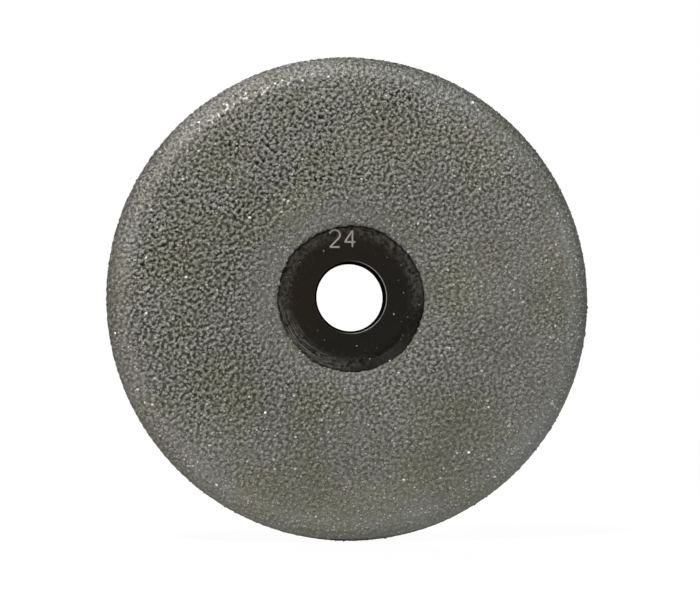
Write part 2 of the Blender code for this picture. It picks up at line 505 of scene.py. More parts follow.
def shade(x, z):
    """A slow drift of the plating's tone with painted light in it: random patches, lighter towards the top, a painted
    highlight on the rim's upper left, painted light on the left and painted shade on the right by the hub to even out
    the lighting there, a little lighter low on the face, and darker on the rim's upper right, at the very edge and
    most of all at mid left.
    """
    rho, ang = np.hypot(x, z), np.degrees(np.arctan2(z, x))
    drift = 0.10 * cloud_noise.fractal(x / 10.0, z / 10.0, 2) * (1 - 0.55 * smoothstep(23.0, 17.5, rho))
    drift = drift + 0.030 * np.tanh(z / 26) + 0.10 * np.exp(-(((ang - 119) / 18.0) ** 2)) * smoothstep(44.0, 45.8, rho)
    drift = drift - 0.34 * smoothstep(49.8, RHO_OUT - 0.6, rho)
    drift = drift + smoothstep(23.0, 17.5, rho) * (0.020 - 0.070 * np.cos(np.radians(ang)))
    drift = drift + 0.19 * np.exp(-(((ang - 110) / 27.0) ** 2)) * smoothstep(38.0, 45.5, rho)
    drift = drift + 0.045 * np.exp(-(((ang + 85) / 42.0) ** 2)) * smoothstep(35.0, 43.0, rho)
    drift = drift - 0.035 * np.exp(-(((ang - 50) / 25.0) ** 2)) * smoothstep(44.0, 46.0, rho)
    return drift - 0.070 * np.exp(-((x + 29) ** 2 + (z * 0.7) ** 2) / 13.0**2)


def lump(x, z):
    """Share of the lump height, 0 in the pits and 1 on the tops."""
    return smoothstep(-1.95, 2.25, sample(lumps, x, z) + 0.22 * sample(fine_lumps, x, z))


def painted_highlight_lines(x, z):
    """Short wavy lines of painted highlight on the rim's upper left."""
    rho, ang = np.hypot(x, z), np.degrees(np.arctan2(z, x))
    place = np.exp(-(((ang - 117) / 18.0) ** 2) - ((rho - 46.1) / 1.2) ** 2)
    return place * np.exp(-((sample(streaks, x, z) / 0.34) ** 2))


rng = np.random.default_rng(20)


def grain_gap(x, z):
    return np.full(len(x), GRAIN_GAP)


GRAIN_GAP = 0.46
gx, gz = poisson_ring(rng, RHO_IN + 0.1, RHO_OUT - 0.12, grain_gap)
g_field = sample(lumps, gx, gz)
keep = (rng.random(len(gx)) < smoothstep(-1.0, 0.15, g_field)) & (np.hypot(gx, gz) < RHO_OUT - 0.45)
gx, gz, g_field = gx[keep], gz[keep], g_field[keep]
g_rho, g_theta = np.hypot(gx, gz), np.arctan2(gz, gx)
g_exp = relief(gx, gz)
g_size = np.clip(rng.normal(0.50, 0.07, len(gx)), 0.30, 0.68)
print("grains", len(gx), "rho", RHO_IN, RHO_OUT)
bond_noise = Noise(77)


def bond_height(rho, theta):
    """Thickness of the plated bond above the steel, millimetres."""
    x, z = rho * np.cos(theta), rho * np.sin(theta)
    e = relief(x, z)
    t = 0.20 + 0.39 * e * (lump(x, z) - 0.45) + 0.022 * e * sample(fine_lumps, x, z)
    return t + 0.03 * bond_noise(x / 9 + 3, z / 9)


edge_noise = Noise(5)


def hub_edge(theta):
    """The wavy inner edge of the plating, as a shift of its radius; its mask sat a little low."""
    a, b = 8 * np.cos(theta), 8 * np.sin(theta)
    return (
        0.30 * edge_noise.fractal(a / 3 + 50, b / 3 + 50, 2)
        + 0.14 * edge_noise(a * 1.6, b * 1.6)
        + 0.115 * edge_noise(a * 3.7 + 9, b * 3.7)
        - 0.42 * np.sin(theta)
    )


def rim_edge(theta):
    a, b = 20 * np.cos(theta), 20 * np.sin(theta)
    return 0.10 * edge_noise(a, b) + 0.08 * edge_noise(a * 3, b * 3)


# ---- materials ------------------------------------------------------------------------------
def face_tint(m):
    """Where the face is a little more olive, in large soft patches, most of them low on the face."""
    _, _, x, z = m.polar()
    low = m.math("SUBTRACT", m.spread(z, -12.0, -34.0, 0.0, 0.06), m.spread(z, 30.0, 44.0, 0.0, 0.07))
    place = m.math("SUBTRACT", low, m.spread(x, 28.0, 44.0, 0.0, 0.09))
    return m.spread(m.math("ADD", m.noise(0.075, 3.0, 0.6), place), 0.37, 0.68, smooth=True)


def radial_gain_and_rim_highlight(m):
    """Scales the plating's colour by radius: a painted highlight on the rolled rim, and lighter towards the rim and by
    the hub.
    """
    r = m.polar()[0]
    face = m.math("ADD", m.spread(r, 30.5, 35.0, 1.0, 1.04), m.spread(r, 36.0, 44.0, 0.0, 0.09))
    face = m.math("ADD", face, m.spread(r, 26.5, 22.5, 0.0, 0.042))
    rim = m.math("SUBTRACT", m.spread(r, 44.6, 46.4, smooth=True), m.spread(r, 47.4, 49.2, 0.0, 0.95, smooth=True))
    hub = m.spread(r, 19.5, 16.2, smooth=True)
    return m.math("ADD", face, m.math("ADD", m.math("MULTIPLY", rim, 0.185), m.math("MULTIPLY", hub, 0.035)))


def cooled(m, base):
    """The part by the hub and the rim's right side are a more neutral grey, and the rim's left side is a little warm,
    a painted red bounce light.
    """
    r, _, x, _ = m.polar()
    green = m.spread(m.noise(0.13, 3.0, 0.6), 0.35, 0.65)
    base = m.mix(1.0, base, m.mix(green, (1.0, 0.991, 1.0), (1.0, 1.009, 1.0)), "MULTIPLY")
    base = m.mix(m.spread(r, 23.0, 17.5, smooth=True), base, m.mix(1.0, base, (0.985, 0.990, 1.055), "MULTIPLY"))
    # painted bounce light: the rim warmer on its left than on its right
    side = m.mix(m.spread(x, -38.0, 30.0), (1.006, 0.989, 1.020), (0.960, 1.0, 1.080))
    return m.mix(m.spread(r, 42.5, 46.5, smooth=True), base, m.mix(1.0, base, side, "MULTIPLY"))


def bond_material():
    m = Nodes("plated_bond")
    tone = m.new("ShaderNodeAttribute", attribute_name="tone").outputs["Fac"]
    olive = face_tint(m)
    # pit is painted shade in the plating's pits and top the lighter lump tops; tone runs between them
    pit = m.mix(olive, (0.0210, 0.0201, 0.0102), (0.0190, 0.0183, 0.0058))
    top = m.mix(olive, (0.1760, 0.1708, 0.1545), (0.1590, 0.1560, 0.1190))
    fine = m.noise(2.6, 3.0, 0.6)
    level = m.math("ADD", tone, m.spread(fine, 0.3, 0.7, -0.10, 0.10), clamp=True)
    base = m.mix(level, pit, top)
    # tone over 1.0 takes the pale colour of the painted highlight lines
    base = m.mix(m.spread(tone, 1.0, 1.5), base, (0.56, 0.55, 0.525))
    base = cooled(m, m.scaled(base, radial_gain_and_rim_highlight(m)))
    m.set(Base_Color=base, Metallic=0.30, Roughness=m.spread(fine, 0.3, 0.7, 0.46, 0.62))
    m.set(Normal=m.bump(m.noise(8.0, 2.0), 0.30, 0.00006))
    return m.mat


def grain_material():
    m = Nodes("diamond_grain")
    tone = m.new("ShaderNodeAttribute", attribute_name="tone").outputs["Fac"]
    olive = face_tint(m)
    # dark is painted shade for grains in the pits, light the grains on the lump tops
    dark = m.mix(olive, (0.0435, 0.0421, 0.0300), (0.0390, 0.0380, 0.0225))
    light = m.mix(olive, (0.2370, 0.2310, 0.2130), (0.2150, 0.2110, 0.1690))
    fine = m.noise(5.0, 2.0, 0.6)
    level = m.math("ADD", tone, m.spread(fine, 0.3, 0.7, -0.10, 0.10), clamp=True)
    base = m.mix(level, dark, light)
    # tones 0.86 to 1.0 take a pale painted glint colour, tones over 1.0 the paler colour of the painted highlight
    # lines
    base = m.mix(m.spread(tone, 0.86, 1.0), base, (0.34, 0.335, 0.312))
    base = m.mix(m.spread(tone, 1.0, 1.5), base, (0.66, 0.65, 0.62))
    base = cooled(m, m.scaled(base, radial_gain_and_rim_highlight(m)))
    m.set(Base_Color=base, Metallic=0.25, Roughness=m.spread(tone, 0.0, 1.0, 0.52, 0.46))
    return m.mat


def hub_material():
    m = Nodes("black_steel")
    r, a, x, z = m.polar()
    ring = m.nt.nodes.new("ShaderNodeCombineXYZ")
    m.put(ring.inputs[0], m.math("MULTIPLY", r, 5.0))
    m.put(ring.inputs[1], m.math("MULTIPLY", a, 0.9))
    turning = m.noise(1.6, 3.0, 0.7, ring.outputs[0])
    dust = m.noise(3.2, 4.0, 0.7)
    mottle = m.noise(1.15, 4.0, 0.62)
    bent = m.nt.nodes.new("ShaderNodeCombineXYZ")
    m.put(bent.inputs[0], m.math("MULTIPLY", r, 1.9))
    m.put(bent.inputs[1], m.math("MULTIPLY", a, 8.5))
    smudge = m.noise(1.0, 3.0, 0.6, bent.outputs[0])
    gap = m.new("ShaderNodeAttribute", attribute_name="tone").outputs["Fac"]
    cloud = m.noise(0.16, 2.0, 0.5)
    warm = m.spread(m.math("SUBTRACT", z, x), -6.0, 10.0, smooth=True)
    base = m.mix(warm, (0.0050, 0.0042, 0.0026), (0.0063, 0.0040, 0.0020))
    base = m.mix(m.spread(cloud, 0.35, 0.65, 0.0, 0.5), base, (0.0038, 0.0032, 0.0022))
    # a scuffed patch low on the left with a few turned lines through it
    toward = m.math("ADD", m.math("MULTIPLY", x, -0.74), m.math("MULTIPLY", z, -0.67))
    low_left = m.math("MULTIPLY", m.spread(toward, 10.6, 12.8, smooth=True), m.spread(r, 11.6, 12.8, smooth=True))
    lines = m.spread(turning, 0.565, 0.635, smooth=True)
    left = m.math("MULTIPLY", m.spread(x, -8.6, -11.6, smooth=True), m.spread(r, 11.9, 13.4, smooth=True))
    # painted reflection: a grey band on the hub's slope, broken up by mottle and dust noise, faint on the lower right;
    # it joins the scuffed patch, smudges and specks in one mask
    slope = m.spread(r, 11.3, 14.0, smooth=True)
    aside = m.math("SUBTRACT", x, z)
    grey = m.math("MULTIPLY", slope, m.spread(aside, 11.0, 19.0, 1.0, 0.08, smooth=True))
    grey = m.math("MULTIPLY", grey, m.spread(mottle, 0.36, 0.66, 0.0, 1.0))
    grey = m.math("MULTIPLY", grey, m.spread(dust, 0.36, 0.64, 0.70, 1.30))
    specks = m.math("MULTIPLY", m.spread(r, 9.5, 14.0, 0.25, 1.0), m.spread(m.noise(4.6, 2.0, 0.5), 0.665, 0.73))
    scuff_and_reflection = m.math("MAXIMUM", m.math("MULTIPLY", low_left, m.math("MULTIPLY", lines, 0.70)), m.math("MULTIPLY", grey, 0.155))
    scuff_and_reflection = m.math("MAXIMUM", scuff_and_reflection, m.math("MULTIPLY", left, m.math("MULTIPLY", m.spread(smudge, 0.47, 0.68), 0.14)))
    scuff_and_reflection = m.math("MAXIMUM", scuff_and_reflection, m.math("MULTIPLY", specks, 0.26))
    # painted shadow: a near-black line on the hub just inside the plating's edge, where the other marks fade
    edge = m.spread(gap, 0.48, 0.10, smooth=True)
    scuff_and_reflection = m.math("MULTIPLY", scuff_and_reflection, m.spread(edge, 0.0, 1.0, 1.0, 0.25))
    base = m.mix(edge, base, (0.0014, 0.0012, 0.0009))
    base = m.mix(scuff_and_reflection, base, (0.30, 0.29, 0.265))
    # bare metal at the front edge of the bore, drawn as a painted highlight hair line, mostly on the right
    line = m.spread(m.math("ABSOLUTE", m.math("SUBTRACT", r, BORE_R + BORE_CHAMFER - 0.02)), 0.115, 0.03, smooth=True)
    side = m.spread(m.math("ADD", x, m.math("MULTIPLY", z, -0.15)), -2.6, 4.6, 0.05, 1.0, smooth=True)
    bare_edge_highlight = m.math("MULTIPLY", m.math("MULTIPLY", line, side), m.spread(m.noise(0.9, 2.0), 0.25, 0.45, 0.45, 1.0))
    # painted shade: the bore's wall is darker than the black finish and has no specular
    inside = m.spread(r, BORE_R + BORE_CHAMFER - 0.06, BORE_R + BORE_CHAMFER - 0.16, smooth=True)
    base = m.mix(inside, base, (0.0016, 0.0015, 0.0014))
    base = m.mix(bare_edge_highlight, base, (0.20, 0.195, 0.185))
    m.set(
        Base_Color=base,
        Metallic=m.math("MULTIPLY", bare_edge_highlight, 0.5),
        Roughness=m.math("ADD", m.spread(dust, 0.3, 0.7, 0.34, 0.46), m.math("MULTIPLY", scuff_and_reflection, 0.3)),
        Specular_IOR_Level=m.math("MULTIPLY", m.spread(inside, 0.0, 1.0, 0.12, 0.0), m.spread(r, 11.4, 13.0, 1.0, 0.16)),
    )
    fine = m.bump(turning, 0.12, 0.00004)
    m.set(Normal=m.bump(m.noise(0.55, 2.0), 0.12, 0.0003, fine))
    return m.mat


def film_material():
    m = Nodes("glue_film")
    n = m.noise(0.8, 4.0, 0.6)
    m.set(
        Base_Color=m.mix(m.spread(n, 0.3, 0.7), (0.50, 0.42, 0.26), (0.66, 0.60, 0.44)),
        Roughness=m.spread(n, 0.3, 0.7, 0.35, 0.55),
    )
    m.set(Normal=m.bump(n, 0.3, 0.0001))
    return m.mat


def cloth_material():
    m = Nodes("ground_cloth")
    n = m.noise(2.2, 4.0, 0.6)
    m.set(
        Base_Color=m.mix(m.spread(n, 0.3, 0.7), (0.045, 0.0015, 0.0025), (0.12, 0.004, 0.007)),
        Roughness=0.95,
        Specular_IOR_Level=0.2,
    )
    m.set(Normal=m.bump(m.noise(7.0, 2.0), 0.5, 0.0001))
    return m.mat


def nap_material(name, dark, light, tip_sheen):
    m = Nodes(name)
    tone = m.new("ShaderNodeAttribute", attribute_name="tone").outputs["Fac"]
    r, a, x, z = m.polar()
    patch = m.noise(0.75, 3.0, 0.6)
    broad = m.noise(0.045, 2.0, 0.5)
    base = m.mix(m.spread(tone, 0.0, 0.70), dark, light)
    # the last colour is painted sheen on the highest tones of the pile
    base = m.mix(m.spread(tone, 0.60, 1.0), base, tip_sheen)
    base = m.scaled(base, m.spread(patch, 0.35, 0.65, 0.87, 1.13))
    base = m.mix(m.spread(broad, 0.35, 0.65, 0.0, 0.10), base, dark)
    # painted highlight: a little of the sheen colour along the pile's outer edge
    edge = m.spread(r, 47.6, 48.8, smooth=True)
    base = m.mix(m.math("MULTIPLY", edge, 0.15), base, tip_sheen)
    m.set(
        Base_Color=base,
        Roughness=m.spread(patch, 0.3, 0.7, 0.72, 0.92),
        Specular_IOR_Level=0.03,
    )
    return m.mat


def mark_material():
    m = Nodes("engraved_mark")
    n = m.noise(5.0, 3.0, 0.6)
    m.set(
        Base_Color=m.mix(m.spread(n, 0.3, 0.7), (0.140, 0.131, 0.120), (0.23, 0.216, 0.202)),
        Metallic=0.2,
        Roughness=m.spread(n, 0.3, 0.7, 0.5, 0.7),
    )
    return m.mat


# ---- steel body -------------------------------------------------------------------------------
s_front = np.unique(
    np.concatenate(
        [
            np.linspace(0, S_IN + 1.0, 64),
            np.linspace(S_IN + 1.0, S_OUT - 7.5, 40),
            np.linspace(S_OUT - 7.5, front.s[-1], 46),
        ]
    )
)
fr, fh, _, _ = front.at(s_front)
section = list(zip(fr, fh)) + [
    (STEEL_R - EDGE_BREAK * 0.3, EDGE_BREAK * 0.3),
    (STEEL_R - EDGE_BREAK, 0.0),
    (34.0, 0.0),
    (BORE_R + 0.25, 0.0),
    (BORE_R + 0.04, 0.03),
    (BORE_R, 0.12),
    (BORE_R, HUB_H * 0.5),
    (BORE_R, HUB_H - BORE_CHAMFER - 0.08),
    (BORE_R + 0.02, HUB_H - BORE_CHAMFER),
    (BORE_R + 0.08, HUB_H - BORE_CHAMFER + 0.10),
    (BORE_R + BORE_CHAMFER - 0.10, HUB_H - 0.08),
    (BORE_R + BORE_CHAMFER - 0.03, HUB_H - 0.02),
]


def steel_uv(r, h, t):
    """The hub gets most of the map, since the rest of the steel is covered."""
    out = np.where(h < 0.3, 0.92 + 0.07 * (1 - (r - BORE_R) / STEEL_R), np.interp(r, [7, 16.5, STEEL_R], [0.33, 0.80, 0.90]))
    bore = (r < BORE_R + BORE_CHAMFER) & (h < HUB_H - 0.01)
    out = np.where(bore, 0.24 + 0.09 * h / HUB_H, out)
    return 0.5 + 0.5 * np.stack([out * np.cos(t), out * np.sin(t)], -1)


steel = lathe("steel_body_turned", section, 384, uv_of=steel_uv)
s_co = np.empty(len(steel.data.vertices) * 3, np.float32)
steel.data.vertices.foreach_get("co", s_co)
s_co = s_co.reshape(-1, 3).astype(float) / MM
s_gap = PLATED_R + hub_edge(np.arctan2(s_co[:, 2], s_co[:, 0])) - np.hypot(s_co[:, 0], s_co[:, 2])
steel.data.attributes.new("tone", "FLOAT", "POINT").data.foreach_set("value", s_gap.astype(np.float32))
piece(steel, hub_material(), "black_steel", "steel_body")
steel.data.set_sharp_from_angle(angle=math.radians(32))

# ---- plated bond ---------------------------------------------------------------------------------
def closed_ring(name, rho, theta, grid, top, under, floor_step, tone, uv_reach):
    """Closes a fine grid of top points with walls and a coarse underside; the rims of the top stay crisp."""
    tris, counts, starts = grid
    last, n_top = starts[-1], len(top)
    first_ring, last_ring = slice(0, counts[0]), slice(last, last + counts[-1])
    wall_in = under(rho[first_ring], theta[first_ring])
    wall_out = under(rho[last_ring], theta[last_ring])
    lo, hi = rho[0], rho[-1]
    mids = np.linspace(lo, hi, max(4, int(round((hi - lo) / floor_step))))[1:-1]
    m_rho, m_theta, _, m_counts, m_starts = ring_grid(mids, floor_step)
    base = under(m_rho, m_theta)
    a0 = n_top
    a1 = a0 + counts[0]
    a2 = a1 + counts[-1]
    turn_out = 0.5 * ((len(counts) - 1) % 2)
    floor_tris = zipped_rings(
        [counts[0]] + m_counts + [counts[-1]],
        [a0] + [a2 + s for s in m_starts] + [a1],
        [0.0] + [0.5 * (i % 2) for i in range(len(m_counts))] + [turn_out],
    )[:, ::-1]
    i = np.arange(counts[0])
    j = (i + 1) % counts[0]
    k = np.arange(counts[-1])
    m = (k + 1) % counts[-1]
    faces = np.concatenate(
        [
            tris,
            floor_tris,
            np.stack([i, j, a0 + i], -1),
            np.stack([j, a0 + j, a0 + i], -1),
            np.stack([last + k, a1 + k, last + m], -1),
            np.stack([last + m, a1 + k, a1 + m], -1),
        ]
    )
    co = np.concatenate([top, wall_in, wall_out, base])
    uv = flat_uv(co[:, 0], co[:, 2], uv_reach)
    tones = np.full(len(co), 0.2)
    tones[:n_top] = tone
    ob = make_mesh(name, co, faces, uv, True, tones)
    me = ob.data
    ends = np.empty(len(me.edges) * 2, np.int32)
    me.edges.foreach_get("vertices", ends)
    ends = ends.reshape(-1, 2)
    group = np.zeros(len(co), int)
    group[first_ring], group[last_ring] = 1, 2
    group[a0:a1], group[a1:a2] = 3, 4
    sharp = (group[ends[:, 0]] == group[ends[:, 1]]) & (group[ends[:, 0]] > 0)
    me.attributes.new("sharp_edge", "BOOLEAN", "EDGE").data.foreach_set("value", sharp)
    return ob


BOND_STEP = 0.19
bond_mat = bond_material()
bounds_of_rings = [RHO_IN, 31.0, 43.5, RHO_OUT]
for part, lo, hi in zip(("slope", "face", "rim"), bounds_of_rings, bounds_of_rings[1:]):
    rings = np.linspace(lo, hi, int(round((hi - lo) / (BOND_STEP * 0.9))) + 1)
    rho, theta, tris, counts, starts = ring_grid(rings, BOND_STEP)
    inner = smoothstep(3.0, 0.0, rho - RHO_IN)
    outer = smoothstep(1.5, 0.0, RHO_OUT - rho)
    moved = rho + hub_edge(theta) * inner + rim_edge(theta) * outer
    taper = smoothstep(-0.12, 0.40, rho - RHO_IN) * smoothstep(-0.12, 0.40, RHO_OUT - rho)
    top = on_front(moved, theta, 0.02 + bond_height(moved, theta) * taper)
    x, z = moved * np.cos(theta), moved * np.sin(theta)
    # tone: darker in the pits as painted shade, lighter on the lump tops, boldest to the upper left, on top of the
    # drift and its painted light
    tone = np.clip(0.45 + shade(x, z) + 1.08 * relief(x, z) * (lump(x, z) - 0.46), 0, 1)
    # the painted highlight lines raise the tone past 1.0
    tone = tone + (1.40 - tone) * smoothstep(0.34, 0.66, painted_highlight_lines(x, z))

    def under(r, t):
        shift = hub_edge(t) * smoothstep(3.0, 0.0, r - RHO_IN) + rim_edge(t) * smoothstep(1.5, 0.0, RHO_OUT - r)
        return on_front(r + shift, t, -0.05)

    bond = closed_ring(f"plated_bond_{part}", rho, theta, (tris, counts, starts), top, under, 2.4, tone, 50.6)
    piece(bond, bond_mat, "nickel_bond", "bond_layer")
    print(bond.name, len(bond.data.polygons))


# ---- diamond grains ----------------------------------------------------------------------------------
def crisp_shape(cut, rng):
    """A cube with its corners cut off by the share cut, bent a little so no two are alike."""
    bm = bmesh.new()
    bmesh.ops.create_cube(bm, size=1.0)
    bmesh.ops.bevel(bm, geom=bm.verts[:], offset=cut, segments=1, affect="VERTICES", clamp_overlap=True)
    bmesh.ops.triangulate(bm, faces=bm.faces[:])
    bm.normal_update()
    bm.verts.ensure_lookup_table()
    co = np.array([v.co[:] for v in bm.verts])
    faces = np.array([[v.index for v in f.verts] for f in bm.faces])
    bm.free()
    co = co @ (np.eye(3) + rng.uniform(-0.20, 0.20, (3, 3))).T
    return co / np.abs(co).max(0).mean() * 0.5, faces, False


def plated_shape(rng):
    """A blunt pebble: a grain with metal grown over its edges."""
    bm = bmesh.new()
    bmesh.ops.create_icosphere(bm, subdivisions=1, radius=0.5)
    bm.verts.ensure_lookup_table()
    co = np.array([v.co[:] for v in bm.verts])
    faces = np.array([[v.index for v in f.verts] for f in bm.faces])
    bm.free()
    co = co * rng.uniform(0.84, 1.14, (len(co), 1))
    co = co @ (np.eye(3) + rng.uniform(-0.16, 0.16, (3, 3))).T * rng.uniform(0.82, 1.22, 3)
    return co, faces, True


shapes = [plated_shape(rng) for _ in range(30)] + [crisp_shape(c, rng) for c in rng.uniform(0.18, 0.44, 6)]


def grains(name, centres, sizes, tones, uv_x, uv_z, reach, normals, rng):
    """Joins many grains into one mesh: each keeps its own closed shape."""
    pick = rng.integers(0, len(shapes), len(centres))
    turns = random_turns(rng, len(centres))
    stretch = rng.uniform(0.88, 1.14, (len(centres), 3))
    cos, fcs, tns, uvs, smooth, base = [], [], [], [], [], 0
    for s, (co, faces, soft) in enumerate(shapes):
        at = np.flatnonzero(pick == s)
        if not len(at):
            continue
        local = np.einsum("gij,vj->gvi", turns[at], co) * stretch[at][:, None]
        local = local * sizes[at][:, None, None]
        # the grains lie a little flat in the bond
        n = normals[at]
        up = np.einsum("gvi,gi->gv", local, n)
        local = local - 0.22 * up[..., None] * n[:, None]
        world = centres[at][:, None] + local
        e1 = np.zeros_like(n)
        e1[:, 0] = 1
        e1 = e1 - n * np.sum(e1 * n, -1, keepdims=True)
        e1 /= np.maximum(np.linalg.norm(e1, axis=-1, keepdims=True), 1e-6)
        e2 = np.cross(e1, n)
        u = uv_x[at][:, None] + np.einsum("gvi,gi->gv", local, e1) * 0.9
        v = uv_z[at][:, None] + np.einsum("gvi,gi->gv", local, e2) * 0.9
        cos.append(world.reshape(-1, 3))
        uvs.append(np.stack([(u.ravel() - reach[0]) / reach[2], (v.ravel() - reach[1]) / reach[2]], -1))
        tns.append(np.repeat(tones[at], len(co)))
        f = faces[None] + (np.arange(len(at)) * len(co))[:, None, None] + base
        fcs.append(f.reshape(-1, 3))
        smooth.append(np.full(len(at) * len(faces), soft))
        base += len(at) * len(co)
    ob = make_mesh(name, np.concatenate(cos), np.concatenate(fcs), np.concatenate(uvs), True, np.concatenate(tns))
    ob.data.polygons.foreach_set("use_smooth", np.concatenate(smooth))
    return ob


g_t = 0.02 + bond_height(g_rho, g_theta) + 0.05 * g_exp + rng.normal(0, 0.025, len(gx)) - 0.06 - 0.07 * smoothstep(46.0, 50.0, g_rho)
g_centre = on_front(g_rho, g_theta, g_t)
g_normal = front_normal(g_rho, g_theta)
flat_r = np.hypot(g_centre[:, 0], g_centre[:, 2])
over = np.clip(flat_r + g_size * 0.46 - (WHEEL_R - 0.01), 0, 1)
g_centre[:, [0, 2]] *= (1 - over / flat_r)[:, None]
# grain tone: darker in the pits as painted shade, lighter on the lump tops, as on the plating
g_tone = np.clip(0.42 + shade(gx, gz) + 1.08 * g_exp * (lump(gx, gz) - 0.46) + rng.normal(0, 0.10, len(gx)), 0, 0.86)
# painted glints: lighter grains on the rim, most of them on the upper left
on_rim = smoothstep(43.0, 45.5, g_rho) * smoothstep(50.5, 48.5, g_rho)
dots = rng.random(len(gx)) < (0.12 + 0.36 * np.exp(-(((np.degrees(g_theta) - 116) / 34.0) ** 2))) * on_rim
g_tone = np.where(dots, np.maximum(g_tone, rng.uniform(0.60, 0.84, len(gx))), g_tone)
# painted glints: a few very light grains over the face, fewer at its outer edge
bright = rng.random(len(gx)) < 0.03 * smoothstep(50.0, 48.5, g_rho)
g_tone = np.where(bright, np.maximum(g_tone, rng.uniform(0.80, 1.0, len(gx))), g_tone)
# painted highlight: short wavy lines of very light grains where the rim rolls over at the upper left
hot = (rng.random(len(gx)) < 0.92) & (painted_highlight_lines(gx, gz) > 0.36)
g_tone = np.where(hot, rng.uniform(1.05, 1.40, len(gx)), g_tone)
keep_edge = g_rho > RHO_IN + hub_edge(g_theta) + 0.12
grain_mat = grain_material()
quarter = (np.floor((g_theta + math.pi / 4) / (math.pi / 2)).astype(int)) % 4
for q, side in enumerate(("right", "top", "left", "bottom")):
    at = np.flatnonzero((quarter == q) & keep_edge)
    lo = np.array([gx[at].min() - 0.6, gz[at].min() - 0.6])
    size = max(gx[at].max() - lo[0], gz[at].max() - lo[1]) + 0.6
    ob = grains(f"diamond_grit_{side}", g_centre[at], g_size[at], g_tone[at], gx[at], gz[at], (lo[0], lo[1], size), g_normal[at], rng)
    piece(ob, grain_mat, "diamond_grain", "diamond_grit")
    print(ob.name, len(ob.data.polygons))

# stray grains that settled on the hub
n_stray = 26
sr = np.sqrt(rng.uniform(9.2**2, 14.6**2, n_stray))
st = rng.uniform(0, TAU, n_stray)
ss = np.interp(sr, front.r[front.r < 30], front.s[front.r < 30])
r_, h_, nr_, nh_ = front.at(ss)
s_size = rng.uniform(0.15, 0.30, n_stray)
lift = s_size * 0.28
sc = np.stack([(r_ + nr_ * lift) * np.cos(st), Y_BACK - (h_ + nh_ * lift), (r_ + nr_ * lift) * np.sin(st)], -1)
sn = np.stack([nr_ * np.cos(st), -nh_, nr_ * np.sin(st)], -1)
stray = grains("stray_grains", sc, s_size, rng.uniform(0.2, 0.7, n_stray), sr * np.cos(st), sr * np.sin(st), (-16, -16, 32), sn, rng)
piece(stray, grain_mat, "diamond_grain", "diamond_grit")


# ---- the grit number on the hub -----------------------------------------------------------------------
def hub_point(x, z, lift):
    """A point on the hub's face, raised by lift along the face's normal."""
    r = np.hypot(x, z)
    s = np.interp(r, front.r[front.r < 30], front.s[front.r < 30])
    fr, fh, nr, nh = front.at(s)
    rr = fr + nr * lift
    return np.stack([rr * x / r, Y_BACK - (fh + nh * lift), rr * z / r], -1)


def stroke(points, width, thick):
    """A closed raised line of even width with round ends, laid on the hub's face."""
    p = np.array(points, float)
    step = np.hypot(*np.diff(p, axis=0).T)
    s = np.concatenate([[0], np.cumsum(step)])
    count = max(4, int(s[-1] / 0.12))
    t = np.unique(np.concatenate([np.linspace(0, s[-1], count), s]))
    p = np.stack([np.interp(t, s, p[:, 0]), np.interp(t, s, p[:, 1])], -1)
    d = np.gradient(p, axis=0)
    d /= np.linalg.norm(d, axis=1, keepdims=True)
    ends = np.sqrt(np.clip(1 - (1 - np.clip(np.minimum(t, s[-1] - t) / (width / 2), 0, 1)) ** 2, 0.02, 1))
    n = np.stack([-d[:, 1], d[:, 0]], -1) * (width / 2 * ends)[:, None]
    rows = []
    for across, lift in ((1.0, -0.02), (1.0, thick * 0.6), (0.55, thick), (-0.55, thick), (-1.0, thick * 0.6), (-1.0, -0.02)):
        q = p + n * across
        rows.append(hub_point(q[:, 0], q[:, 1], lift))
    rows = np.stack(rows, 1)
    m, k = len(p), rows.shape[1]
    i = np.arange(m - 1)[:, None] * k
    j, j2 = np.arange(k)[None], (np.arange(k)[None] + 1) % k
    a, b, c, e = i + j, i + j2, i + k + j2, i + k + j
    faces = np.concatenate([np.stack([a, b, c], -1).reshape(-1, 3), np.stack([a, c, e], -1).reshape(-1, 3)])
    fan = np.array([[0, v + 1, v] for v in range(1, k - 1)])
    faces = np.concatenate([faces, fan, fan[:, ::-1] + (m - 1) * k])
    return rows.reshape(-1, 3), faces


def arc(cx, cz, rx, rz, a0, a1, steps=20):
    return [
        (cx + rx * math.cos(math.radians(a0 + (a1 - a0) * k / steps)), cz + rz * math.sin(math.radians(a0 + (a1 - a0) * k / steps)))
        for k in range(steps + 1)
    ]


TALL, WIDE, THIN = 3.5, 2.15, 0.34
mark_x, mark_z = -4.35, 10.30
bowl = WIDE * 0.48
two = [(mark_x + a, mark_z + b) for a, b in arc(WIDE / 2, TALL - bowl, WIDE / 2, bowl, 168, -32) + [(0.10, 0.0), (WIDE, 0.0)]]
four_x = mark_x + WIDE + 1.05
stem = four_x + WIDE * 0.72
four = [[(stem, mark_z), (stem, mark_z + TALL)], [(stem, mark_z + TALL), (four_x, mark_z + TALL * 0.31), (four_x + WIDE * 1.02, mark_z + TALL * 0.31)]]
co, fcs, base = [], [], 0
for line in (two, *four):
    c, f = stroke(line, THIN, 0.045)
    co.append(c)
    fcs.append(f + base)
    base += len(c)
co, fcs = np.concatenate(co), np.concatenate(fcs)
corner = co[fcs]
way = np.cross(corner[:, 1] - corner[:, 0], corner[:, 2] - corner[:, 0])
lifted = (corner.mean(1)[:, 1] < Y_BACK - HUB_H - 0.03).astype(float)
if np.sum(way[:, 1] * lifted) > 0:
    fcs = fcs[:, ::-1]
mark = make_mesh("grit_number", co, fcs, np.stack([(co[:, 0] + 5.5) / 8, (co[:, 2] - 9) / 8], -1), False)
mark.data.materials.append(mark_material())
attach(mark, "root")

# ---- glue film ------------------------------------------------------------------------------------------
film_noise = Noise(9)
f_in, f_out = 7.36, film_hi.x / MM
h_top, h_low = Y_BACK - film_lo.y / MM, Y_BACK - film_hi.y / MM


